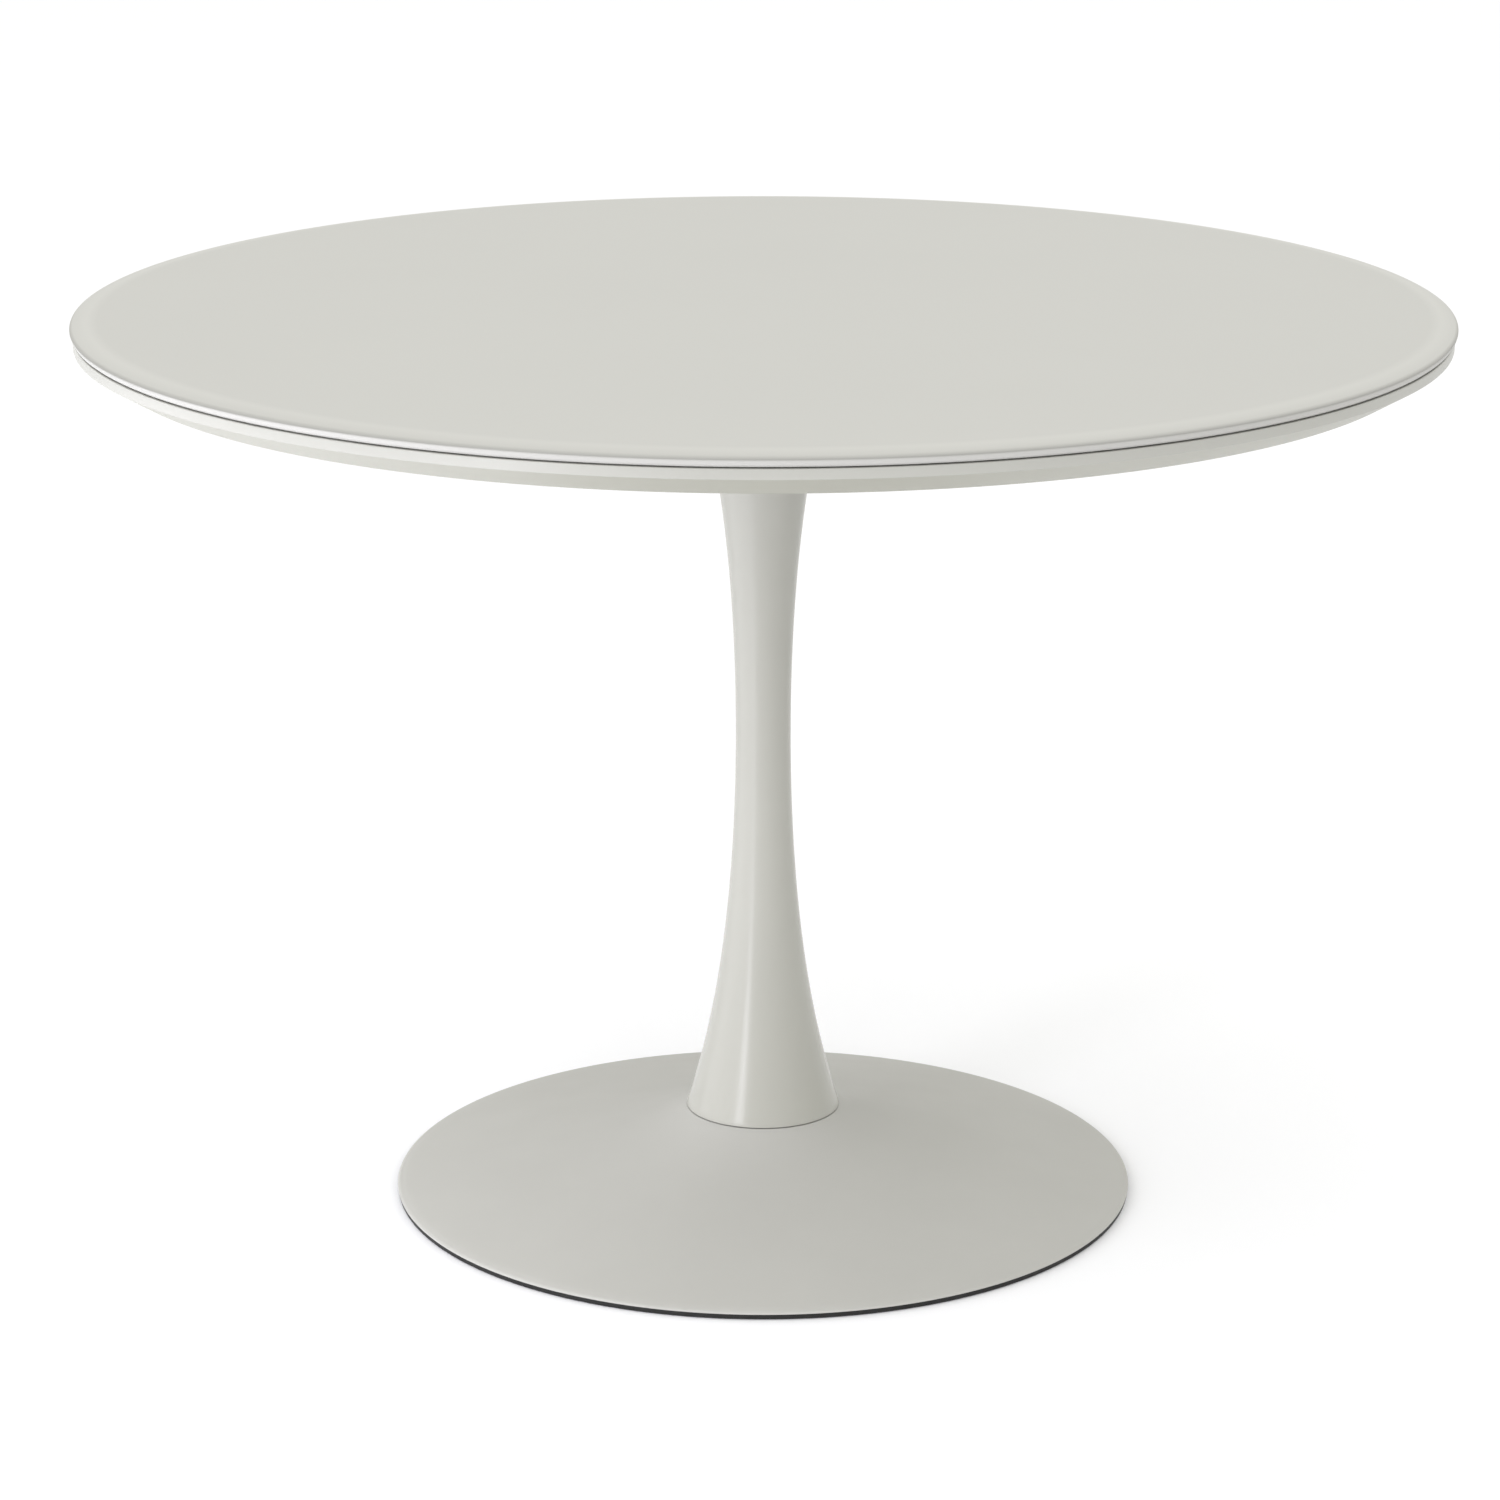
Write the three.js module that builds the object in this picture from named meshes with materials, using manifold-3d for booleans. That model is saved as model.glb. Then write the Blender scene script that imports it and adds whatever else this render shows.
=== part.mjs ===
// Round pedestal table: glass-faced round top, double-flared steel column,
// trumpet-shaped steel base on a rubber ring. Millimetres, +Z up, origin on the
// floor at the table's axis.
import * as THREE from "three";
import { mergeVertices } from "three/addons/utils/BufferGeometryUtils.js";
import Module from "manifold-3d";

const wasm = await Module();
wasm.setup();

// ---------------------------------------------------------------- dimensions
const HEIGHT = 745; // floor to glass
const TOP_R = 550; // widest point of the glass edge
const GLASS_T = 11.2;
const GLASS_FLAT_R = 526; // where the glass starts to roll off
const GLASS_BOTTOM_R = 545;
const BOND_T = 1; // adhesive layer
const BOND_R = 543.5;
const BOARD_T = 23.8;
const BOARD_R = 547.6; // upright band of the board
const BOARD_BAND = 7.8; // height of the upright band
const BOARD_UNDER_R = 520; // lower end of the chamfer

const PLATE_R = 160; // support plate under the board
const PLATE_T = 4;
const TOP_SCREWS = 6; // M6, board to support plate
const TOP_SCREW_PCR = 135;

const COLUMN_WAIST_R = 22.6; // column radius = waist + A t^2 + B t^4
const COLUMN_A = 29.6;
const COLUMN_B = 11.6;
const COLUMN_HALF = 324; // from the waist to the foot edge
const COLUMN_WALL = 1.5;
const COLUMN_FOOT_Z = 68.8;
const COLUMN_WAIST_Z = COLUMN_FOOT_Z + COLUMN_HALF;
const HEAD_PLATE_T = 8;
const FOOT_PLATE_T = 10;
const COLUMN_SCREWS = 4; // M8, each end of the column
const HEAD_PCR = 36;
const FOOT_PCR = 34;

const BASE_TOP_Z = 68; // flat top of the base cover
const BASE_NECK_R = 64.5;
const BASE_R = 306.4;
const BASE_WALL = 2;
const BASE_SLOPE = 0.185; // slope of the outer cone
const NECK_SLOPE = 0.43; // extra slope at the neck, fading outwards
const NECK_FADE = 38;
const HUB_R = 56;
const HUB_T = 8;
const TUBE_R = 50;
const TUBE_WALL = 3;
const BALLAST_R = 288;
const BALLAST_RIM_T = 4;
const BALLAST_CORE_R = 243;
const BALLAST_CORE_T = 12;
const BALLAST_HOLE_R = 44;
const RING_T = 4; // rubber ring under the rim
const RING_R = 305.8;
const RING_INNER_R = 270;

const GAP = 0.3; // clearance where round faces sit in each other

// heights that follow
const BOARD_UNDER_Z = HEIGHT - GLASS_T - BOND_T - BOARD_T; // 709
const PLATE_Z = BOARD_UNDER_Z - PLATE_T; // 705
const HUB_TOP_Z = BASE_TOP_Z - BASE_WALL; // 66
const HUB_Z = HUB_TOP_Z - HUB_T; // 58

// ------------------------------------------------------------------ materials
const mat = (color, roughness, metalness) =>
  new THREE.MeshStandardMaterial({ color, roughness, metalness });
const glass = mat(0xd5d4ce, 0.28, 0);
const adhesive = mat(0x35342f, 0.8, 0);
const boardPaint = mat(0xcbcac3, 0.45, 0);
const columnPaint = mat(0xc9c8c1, 0.35, 0);
const basePaint = mat(0xc0bfb9, 0.6, 0);
const rubber = mat(0x1b1b1a, 0.75, 0);
const blackSteel = mat(0x2b2b2b, 0.55, 0.2);
const castIron = mat(0x3c3b39, 0.7, 0.4);
const zinc = mat(0xb4b6b8, 0.35, 1);
const brass = mat(0xb08d57, 0.35, 1);

// -------------------------------------------------------------------- helpers
// A closed geometry as a manifold solid, turned right side out if need be.
function solid(geometry) {
  const g = geometry.index ? geometry.toNonIndexed() : geometry.clone();
  for (const name of Object.keys(g.attributes))
    if (name !== "position") g.deleteAttribute(name);
  const merged = mergeVertices(g, 1e-3);
  const index = Array.from(merged.index.array);
  const tri = [];
  for (let i = 0; i < index.length; i += 3) {
    const [a, b, c] = [index[i], index[i + 1], index[i + 2]];
    if (a !== b && b !== c && c !== a) tri.push(a, b, c);
  }
  const make = (t) =>
    new wasm.Manifold(
      new wasm.Mesh({
        numProp: 3,
        vertProperties: merged.attributes.position.array,
        triVerts: new Uint32Array(t),
      }),
    );
  const made = make(tri);
  if (made.volume() >= 0) return made;
  const turned = [];
  for (let i = 0; i < tri.length; i += 3)
    turned.push(tri[i], tri[i + 2], tri[i + 1]);
  return make(turned);
}

// A manifold solid back as a flat-shaded three.js geometry.
function geometryOf(body) {
  const m = body.getMesh();
  const position = new Float32Array(m.numVert * 3);
  for (let i = 0; i < m.numVert; i++)
    position.set(
      m.vertProperties.subarray(i * m.numProp, i * m.numProp + 3),
      i * 3,
    );
  const g = new THREE.BufferGeometry();
  g.setAttribute("position", new THREE.BufferAttribute(position, 3));
  g.setIndex(new THREE.BufferAttribute(new Uint32Array(m.triVerts), 1));
  const flat = g.toNonIndexed();
  flat.computeVertexNormals();
  return flat;
}

// A ring or disc turned about Z from [radius, z] points. A profile that starts
// and ends on the axis is a disc; any other profile is closed into a ring.
function turned(profile, segments = 64) {
  const points = profile.map(([r, z]) => new THREE.Vector2(r, z));
  const onAxis = profile[0][0] === 0 && profile[profile.length - 1][0] === 0;
  if (!onAxis) points.push(points[0].clone());
  return solid(new THREE.LatheGeometry(points, segments).rotateX(Math.PI / 2));
}

// A cylinder standing on z0, for pins and drilled holes.
function rod(radius, z0, height, segments = 12, x = 0, y = 0) {
  return solid(
    new THREE.CylinderGeometry(radius, radius, height, segments)
      .rotateX(Math.PI / 2)
      .translate(x, y, z0 + height / 2),
  );
}

// Places on a bolt circle, the first one turned by `start` degrees.
function circle(count, radius, start = 0) {
  return Array.from({ length: count }, (_, i) => {
    const a = THREE.MathUtils.degToRad(start + (360 * i) / count);
    return [radius * Math.cos(a), radius * Math.sin(a)];
  });
}

const drill = (body, places, radius, z0, height, segments = 12) =>
  places.reduce(
    (left, [x, y]) => left.subtract(rod(radius, z0, height, segments, x, y)),
    body,
  );

const table = new THREE.Group();
const top = new THREE.Group();
const column = new THREE.Group();
const base = new THREE.Group();
table.add(top, column, base);

function piece(group, name, body, material, x = 0, y = 0, z = 0) {
  const mesh = new THREE.Mesh(
    body.isBufferGeometry ? body : geometryOf(body),
    material,
  );
  mesh.name = name;
  mesh.position.set(x, y, z);
  group.add(mesh);
  return mesh;
}

// ------------------------------------------------------------------------ top
const topPlaces = circle(TOP_SCREWS, TOP_SCREW_PCR, 30);
const headPlaces = circle(COLUMN_SCREWS, HEAD_PCR, 45);
const footPlaces = circle(COLUMN_SCREWS, FOOT_PCR, 45);

// The glass is flat, rolls off over its last 24 mm and has a rounded nose.
const glassZ = HEIGHT - GLASS_T;
piece(
  top,
  "glass_top",
  turned(
    [
      [0, glassZ],
      [GLASS_BOTTOM_R, glassZ],
      [GLASS_BOTTOM_R + 3.6, glassZ + 1.8],
      [TOP_R, HEIGHT - 4.6],
      [TOP_R - 1, HEIGHT - 3.2],
      [TOP_R - 7, HEIGHT - 1.7],
      [TOP_R - 15, HEIGHT - 0.6],
      [GLASS_FLAT_R, HEIGHT],
      [0, HEIGHT],
    ],
    64,
  ),
  glass,
);

piece(
  top,
  "glass_bond_layer",
  turned([
    [0, glassZ - BOND_T],
    [BOND_R, glassZ - BOND_T],
    [BOND_R, glassZ],
    [0, glassZ],
  ]),
  adhesive,
);

// Board: upright band, crease, chamfer; six blind holes for the inserts.
const boardTop = BOARD_UNDER_Z + BOARD_T;
piece(
  top,
  "top_board",
  drill(
    turned(
      [
        [0, BOARD_UNDER_Z],
        [BOARD_UNDER_R, BOARD_UNDER_Z],
        [BOARD_R, boardTop - BOARD_BAND],
        [BOARD_R, boardTop - 0.6],
        [BOARD_R - 0.6, boardTop],
        [0, boardTop],
      ],
      64,
    ),
    topPlaces,
    5 + GAP,
    BOARD_UNDER_Z - 1,
    16,
  ),
  boardPaint,
);

// Threaded inserts: a sleeve, flush with the board's underside.
const insert = turned(
  [
    [3.3, 0],
    [5, 0],
    [5, 13],
    [3.3, 13],
  ],
  12,
);
topPlaces.forEach(([x, y], i) =>
  piece(top, `board_insert_${i + 1}`, insert, brass, x, y, BOARD_UNDER_Z),
);

// Support plate: clearance holes for the board screws, countersinks for the
// column screws.
const countersink = (x, y) =>
  turned(
    [
      [0, -1],
      [4.5, -1],
      [4.5, 0],
      [8.5, 4],
      [8.5, 5],
      [0, 5],
    ],
    12,
  ).translate([x, y, PLATE_Z]);
piece(
  top,
  "support_plate",
  headPlaces.reduce(
    (left, [x, y]) => left.subtract(countersink(x, y)),
    drill(
      turned(
        [
          [0, PLATE_Z],
          [PLATE_R - 0.8, PLATE_Z],
          [PLATE_R, PLATE_Z + 0.8],
          [PLATE_R, PLATE_Z + PLATE_T],
          [0, PLATE_Z + PLATE_T],
        ],
        48,
      ),
      topPlaces,
      3.4,
      PLATE_Z - 1,
      PLATE_T + 2,
    ),
  ),
  blackSteel,
);

// M6 screws from below: washer, pan head with a hexagon socket.
const boardWasher = turned(
  [
    [3.3, 0],
    [6, 0],
    [6, 1.6],
    [3.3, 1.6],
  ],
  16,
);
const boardScrew = turned(
  [
    [0, -1.6],
    [2, -1.6],
    [2, -3.4],
    [4.6, -3.4],
    [5.2, 0],
    [3, 0],
    [3, 16],
    [0, 16],
  ],
  12,
);
topPlaces.forEach(([x, y], i) => {
  piece(
    top,
    `board_washer_${i + 1}`,
    boardWasher,
    zinc,
    x,
    y,
    PLATE_Z - 1.6,
  );
  piece(top, `board_screw_${i + 1}`, boardScrew, zinc, x, y, PLATE_Z - 1.6);
});

// --------------------------------------------------------------------- column
const columnRadius = (z) => {
  const t = (z - COLUMN_WAIST_Z) / COLUMN_HALF;
  return COLUMN_WAIST_R + COLUMN_A * t * t + COLUMN_B * t ** 4;
};
// Inner radius: the wall is measured square to the surface.
const boreRadius = (z) => {
  const slope = columnRadius(z + 0.5) - columnRadius(z - 0.5);
  return columnRadius(z) - COLUMN_WALL * Math.hypot(1, slope);
};
const columnZ = [0, 60, 115, 165, 210, 250, 290, 324];
const columnHeights = [
  ...columnZ.map((d) => COLUMN_WAIST_Z - d).reverse(),
  ...columnZ.slice(1, -1).map((d) => COLUMN_WAIST_Z + d),
  PLATE_Z,
];
piece(
  column,
  "column_shell",
  turned(
    [
      ...columnHeights.map((z) => [columnRadius(z), z]),
      ...[...columnHeights].reverse().map((z) => [boreRadius(z), z]),
    ],
    40,
  ),
  columnPaint,
);

// Plates welded inside the two ends, tapped for M8.
const headZ = PLATE_Z - HEAD_PLATE_T;
piece(
  column,
  "column_head_plate",
  drill(
    turned(
      [
        [0, headZ],
        [boreRadius(headZ) - 1.2, headZ],
        [boreRadius(PLATE_Z) - 1.2, PLATE_Z],
        [0, PLATE_Z],
      ],
      40,
    ),
    headPlaces,
    4 + GAP,
    headZ - 1,
    HEAD_PLATE_T + 2,
  ),
  blackSteel,
);
const footPlateZ = BASE_TOP_Z;
piece(
  column,
  "column_foot_plate",
  drill(
    turned(
      [
        [0, footPlateZ],
        [boreRadius(footPlateZ + 1) - 1.2, footPlateZ],
        [boreRadius(footPlateZ + FOOT_PLATE_T) - 1.2, footPlateZ + FOOT_PLATE_T],
        [0, footPlateZ + FOOT_PLATE_T],
      ],
      40,
    ),
    footPlaces,
    4 + GAP,
    footPlateZ - 1,
    FOOT_PLATE_T + 2,
  ),
  blackSteel,
);

// M8 countersunk screws, heads flush with the support plate.
const headScrew = turned(
  [
    [0, -16],
    [3.4, -16],
    [4, -15],
    [4, -4.2],
    [7.9, -0.3],
    [7.9, 0],
    [2.5, 0],
    [2.5, -3],
    [0, -3],
  ],
  12,
);
headPlaces.forEach(([x, y], i) =>
  piece(
    column,
    `head_screw_${i + 1}`,
    headScrew,
    zinc,
    x,
    y,
    PLATE_Z + PLATE_T,
  ),
);

// ----------------------------------------------------------------------- base
const fade = (r) => Math.exp(-(r - BASE_NECK_R) / NECK_FADE);
const coneZ = (r) =>
  8 +
  BASE_SLOPE * (300 - r) +
  NECK_SLOPE * NECK_FADE * (fade(r) - fade(300));
const neckTop = coneZ(BASE_NECK_R);
const baseZ = (r) => coneZ(r) + (BASE_TOP_Z - 0.4 - neckTop) * fade(r) ** 2;
const baseUnder = (r) => {
  const slope = baseZ(r + 0.5) - baseZ(r - 0.5);
  return baseZ(r) - BASE_WALL * Math.hypot(1, slope);
};
const baseRadii = [66, 76, 90, 110, 140, 185, 240, 296];
piece(
  base,
  "base_shell",
  drill(
    turned(
      [
        [0, BASE_TOP_Z],
        [BASE_NECK_R - 0.8, BASE_TOP_Z],
        ...baseRadii.map((r) => [r, baseZ(r)]),
        [301, baseZ(301) - 0.2],
        [304.6, 6.4],
        [306, 5.4],
        [BASE_R, 4.7],
        [BASE_R - 0.5, RING_T],
        [BASE_R - 3.2, RING_T],
        [302.4, 5.0],
        [299, 6.0],
        [294, baseUnder(294)],
        ...[...baseRadii]
          .slice(1, -1)
          .reverse()
          .map((r) => [r, baseUnder(r)]),
        [66.5, baseUnder(66.5)],
        [62, BASE_TOP_Z - BASE_WALL],
        [0, BASE_TOP_Z - BASE_WALL],
      ],
      64,
    ),
    footPlaces,
    4.5,
    BASE_TOP_Z - BASE_WALL - 1,
    BASE_WALL + 2,
  ),
  basePaint,
);

piece(
  base,
  "hub_plate",
  drill(
    turned(
      [
        [0, HUB_Z],
        [HUB_R, HUB_Z],
        [HUB_R, HUB_TOP_Z],
        [0, HUB_TOP_Z],
      ],
      36,
    ),
    footPlaces,
    4.5,
    HUB_Z - 1,
    HUB_T + 2,
  ),
  blackSteel,
);

const ballastTop = RING_T + BALLAST_CORE_T;
piece(
  base,
  "hub_tube",
  turned(
    [
      [TUBE_R - TUBE_WALL, ballastTop],
      [TUBE_R, ballastTop],
      [TUBE_R, HUB_Z],
      [TUBE_R - TUBE_WALL, HUB_Z],
    ],
    36,
  ),
  blackSteel,
);

piece(
  base,
  "ballast_plate",
  turned([
    [BALLAST_HOLE_R, RING_T],
    [BALLAST_R, RING_T],
    [BALLAST_R, RING_T + BALLAST_RIM_T],
    [BALLAST_CORE_R + 2, RING_T + BALLAST_RIM_T],
    [BALLAST_CORE_R, ballastTop - 1],
    [BALLAST_CORE_R - 1, ballastTop],
    [BALLAST_HOLE_R, ballastTop],
  ]),
  castIron,
);

// One rubber ring carries the ballast plate and the rim of the cover.
piece(
  base,
  "foot_ring",
  turned([
    [RING_INNER_R, 0],
    [RING_R - 1.4, 0],
    [RING_R - 0.4, 0.5],
    [RING_R, 1.4],
    [RING_R, RING_T],
    [RING_INNER_R, RING_T],
  ]),
  rubber,
);

// M8 hexagon bolts from below, with a spring washer and a flat washer.
const flatWasher = turned(
  [
    [4.4, 0],
    [8, 0],
    [8, 1.6],
    [4.4, 1.6],
  ],
  16,
);
const springWasher = turned(
  [
    [4.4, 0],
    [6.6, 0],
    [6.6, 2],
    [4.4, 2],
  ],
  16,
).subtract(solid(new THREE.BoxGeometry(6, 1, 4).translate(6, 0, 1)));
const footBolt = solid(
  new THREE.CylinderGeometry(7.5, 7.5, 5.3, 6)
    .rotateX(Math.PI / 2)
    .translate(0, 0, -2.65),
).add(
  turned(
    [
      [0, -2],
      [4, -2],
      [4, 22.4],
      [0, 22.4],
    ],
    12,
  ),
);
footPlaces.forEach(([x, y], i) => {
  const n = i + 1;
  piece(base, `foot_flat_washer_${n}`, flatWasher, zinc, x, y, HUB_Z - 1.6);
  piece(base, `foot_spring_washer_${n}`, springWasher, zinc, x, y, HUB_Z - 3.6);
  piece(base, `foot_bolt_${n}`, footBolt, zinc, x, y, HUB_Z - 3.6);
});

export default table;
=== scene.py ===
"""Round pedestal table: the looks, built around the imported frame. Metres, +Z up."""
import math

import bmesh
import bpy
from mathutils import Matrix, Vector


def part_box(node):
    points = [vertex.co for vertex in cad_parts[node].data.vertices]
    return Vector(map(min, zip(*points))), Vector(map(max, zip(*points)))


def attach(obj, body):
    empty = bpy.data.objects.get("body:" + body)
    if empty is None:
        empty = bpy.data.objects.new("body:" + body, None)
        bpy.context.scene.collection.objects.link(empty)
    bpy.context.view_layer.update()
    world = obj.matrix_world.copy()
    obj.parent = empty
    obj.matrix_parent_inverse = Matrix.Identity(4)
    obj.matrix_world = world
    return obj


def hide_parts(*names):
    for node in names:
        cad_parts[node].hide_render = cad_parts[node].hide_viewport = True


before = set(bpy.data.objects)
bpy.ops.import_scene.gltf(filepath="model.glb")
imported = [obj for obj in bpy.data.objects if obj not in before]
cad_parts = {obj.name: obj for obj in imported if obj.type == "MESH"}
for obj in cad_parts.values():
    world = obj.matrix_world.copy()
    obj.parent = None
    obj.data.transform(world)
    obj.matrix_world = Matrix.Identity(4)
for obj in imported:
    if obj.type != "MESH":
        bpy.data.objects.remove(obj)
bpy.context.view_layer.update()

MM = 0.001
TAU = 2 * math.pi
scene = bpy.context.scene
collection = scene.collection


# ------------------------------------------------------------------ the frame
def low(node):
    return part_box(node)[0]


def high(node):
    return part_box(node)[1]


def mid(node):
    a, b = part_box(node)
    return (a + b) / 2


def mm(x):
    return x / MM


TOP_Z = mm(high("glass_top").z)
TOP_R = mm(high("glass_top").x)
GLASS_Z = mm(low("glass_top").z)
BOND_Z = mm(low("glass_bond_layer").z)
BOND_R = mm(high("glass_bond_layer").x)
BOARD_Z = mm(low("top_board").z)
BOARD_R = mm(high("top_board").x)
PLATE_Z = mm(low("support_plate").z)
PLATE_R = mm(high("support_plate").x)
COL_FOOT_Z = mm(low("column_shell").z)
COL_HEAD_Z = mm(high("column_shell").z)
BASE_TOP_Z = mm(high("base_shell").z)
BASE_R = mm(high("base_shell").x)
RING_T = mm(high("foot_ring").z)
RING_R = mm(high("foot_ring").x)
HUB_Z = mm(low("hub_plate").z)
HUB_TOP_Z = mm(high("hub_plate").z)
HUB_R = mm(high("hub_plate").x)
TUBE_R = mm(high("hub_tube").x)
BALLAST_R = mm(high("ballast_plate").x)
BALLAST_TOP_Z = mm(high("ballast_plate").z)


# ------------------------------------------------------------------ mesh tools
def fillet(points, steps=6):
    """Rounds the corners of an open or closed outline of (r, z, radius) points."""
    out = []
    n = len(points)
    for i, p in enumerate(points):
        r, z = p[0], p[1]
        radius = p[2] if len(p) > 2 else 0
        if not radius:
            out.append((r, z))
            continue
        a = Vector(points[i - 1][:2]) - Vector((r, z))
        b = Vector(points[(i + 1) % n][:2]) - Vector((r, z))
        la, lb = a.length, b.length
        a.normalize()
        b.normalize()
        angle = a.angle(b)
        if angle > math.pi - 0.02:
            out.append((r, z))
            continue
        cut = min(radius / math.tan(angle / 2), 0.49 * la, 0.49 * lb)
        radius = cut * math.tan(angle / 2)
        bis = (a + b).normalized()
        centre = Vector((r, z)) + bis * (radius / math.sin(angle / 2))
        start = Vector((r, z)) + a * cut
        end = Vector((r, z)) + b * cut
        v0, v1 = start - centre, end - centre
        t0 = math.atan2(v0.y, v0.x)
        t1 = math.atan2(v1.y, v1.x)
        d = (t1 - t0 + math.pi) % TAU - math.pi
        for k in range(steps + 1):
            t = t0 + d * k / steps
            out.append((centre.x + radius * math.cos(t), centre.y + radius * math.sin(t)))
    return out


def smooth_curve(points, n):
    """A Catmull-Rom curve through points, n samples to each span, ends kept."""
    p = [Vector(q) for q in points]
    p = [2 * p[0] - p[1]] + p + [2 * p[-1] - p[-2]]
    out = []
    for i in range(1, len(p) - 2):
        for k in range(n):
            t = k / n
            t2, t3 = t * t, t * t * t
            q = 0.5 * (
                2 * p[i]
                + (p[i + 1] - p[i - 1]) * t
                + (2 * p[i - 1] - 5 * p[i] + 4 * p[i + 1] - p[i + 2]) * t2
                + (3 * p[i] - p[i - 1] - 3 * p[i + 1] + p[i + 2]) * t3
            )
            out.append((q.x, q.y))
    out.append(tuple(points[-1]))
    return out


def new_object(name, mesh):
    obj = bpy.data.objects.new(name, mesh)
    collection.objects.link(obj)
    return obj


def finish_mesh(bm, name, angle=28.0):
    bmesh.ops.remove_doubles(bm, verts=bm.verts, dist=1e-7)
    bmesh.ops.recalc_face_normals(bm, faces=bm.faces)
    if bm.calc_volume(signed=True) < 0:
        bmesh.ops.reverse_faces(bm, faces=bm.faces)
    mesh = bpy.data.meshes.new(name)
    bm.to_mesh(mesh)
    bm.free()
    for poly in mesh.polygons:
        poly.use_smooth = True
    mesh.set_sharp_from_angle(angle=math.radians(angle))
    return mesh


def turn(profile, segments, at=(0, 0, 0)):
    """A bmesh turned about Z from (r, z) points in millimetres. It starts and ends on the axis, or closes on itself."""
    bm = bmesh.new()
    rings = []
    for r, z in profile:
        if r < 1e-6:
            rings.append([bm.verts.new((at[0] * MM, at[1] * MM, (z + at[2]) * MM))])
        else:
            rings.append(
                [
                    bm.verts.new(
                        (
                            (at[0] + r * math.cos(TAU * k / segments)) * MM,
                            (at[1] + r * math.sin(TAU * k / segments)) * MM,
                            (z + at[2]) * MM,
                        )
                    )
                    for k in range(segments)
                ]
            )
    closed = profile[0][0] > 1e-6
    last = len(rings) if closed else len(rings) - 1
    for i in range(last):
        a, b = rings[i], rings[(i + 1) % len(rings)]
        for k in range(segments):
            m = (k + 1) % segments
            if len(a) == 1 and len(b) == 1:
                continue
            if len(a) == 1:
                bm.faces.new((a[0], b[m], b[k]))
            elif len(b) == 1:
                bm.faces.new((a[k], a[m], b[0]))
            else:
                bm.faces.new((a[k], a[m], b[m], b[k]))
    return bm


def turned(name, profile, segments, at=(0, 0, 0), angle=28.0):
    return new_object(name, finish_mesh(turn(profile, segments, at), name, angle))


def cut(obj, tools, operation="DIFFERENCE", angle=28.0):
    """Applies boolean cuts and removes the tools."""
    for tool in tools:
        m = obj.modifiers.new("cut", "BOOLEAN")
        m.operation = operation
        m.solver = "EXACT"
        m.object = tool
    bpy.context.view_layer.update()
    graph = bpy.context.evaluated_depsgraph_get()
    mesh = bpy.data.meshes.new_from_object(obj.evaluated_get(graph))
    mesh.name = obj.name
    obj.modifiers.clear()
    obj.data = mesh
    for tool in tools:
        bpy.data.objects.remove(tool)
    for poly in mesh.polygons:
        poly.use_smooth = True
    mesh.set_sharp_from_angle(angle=math.radians(angle))
    return obj


def drill(obj, places, radius, z0, z1, segments=48):
    tools = [
        turned(f"tool{i}", [(0, z0), (radius, z0), (radius, z1), (0, z1)], segments, (x, y, 0))
        for i, (x, y) in enumerate(places)
    ]
    return cut(obj, tools)


def hexagon(name, across, z0, z1, at, turn_by=0.0):
    """A hexagonal prism, for heads and sockets."""
    bm = bmesh.new()
    r = across / 2 / math.cos(math.pi / 6)
    rings = []
    for z in (z0, z1):
        rings.append(
            [
                bm.verts.new(
                    (
                        (at[0] + r * math.cos(TAU * k / 6 + turn_by)) * MM,
                        (at[1] + r * math.sin(TAU * k / 6 + turn_by)) * MM,
                        (z + at[2]) * MM,
                    )
                )
                for k in range(6)
            ]
        )
    bm.faces.new(rings[0][::-1])
    bm.faces.new(rings[1])
    for k in range(6):
        m = (k + 1) % 6
        bm.faces.new((rings[0][k], rings[0][m], rings[1][m], rings[1][k]))
    return new_object(name, finish_mesh(bm, name))


def threads(r_out, r_in, z0, z1, pitch):
    """Outline of a threaded length, as ridges one pitch apart, from z0 up to z1."""
    out = []
    n = max(1, int(round((z1 - z0) / pitch)))
    step = (z1 - z0) / n
    for i in range(n):
        z = z0 + i * step
        out += [(r_in, z + 0.12 * step), (r_out, z + 0.45 * step), (r_out, z + 0.6 * step), (r_in, z + 0.93 * step)]
    return out


# ------------------------------------------------------------------- materials
def value(node, name, v):
    node.inputs[name].default_value = v


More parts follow.
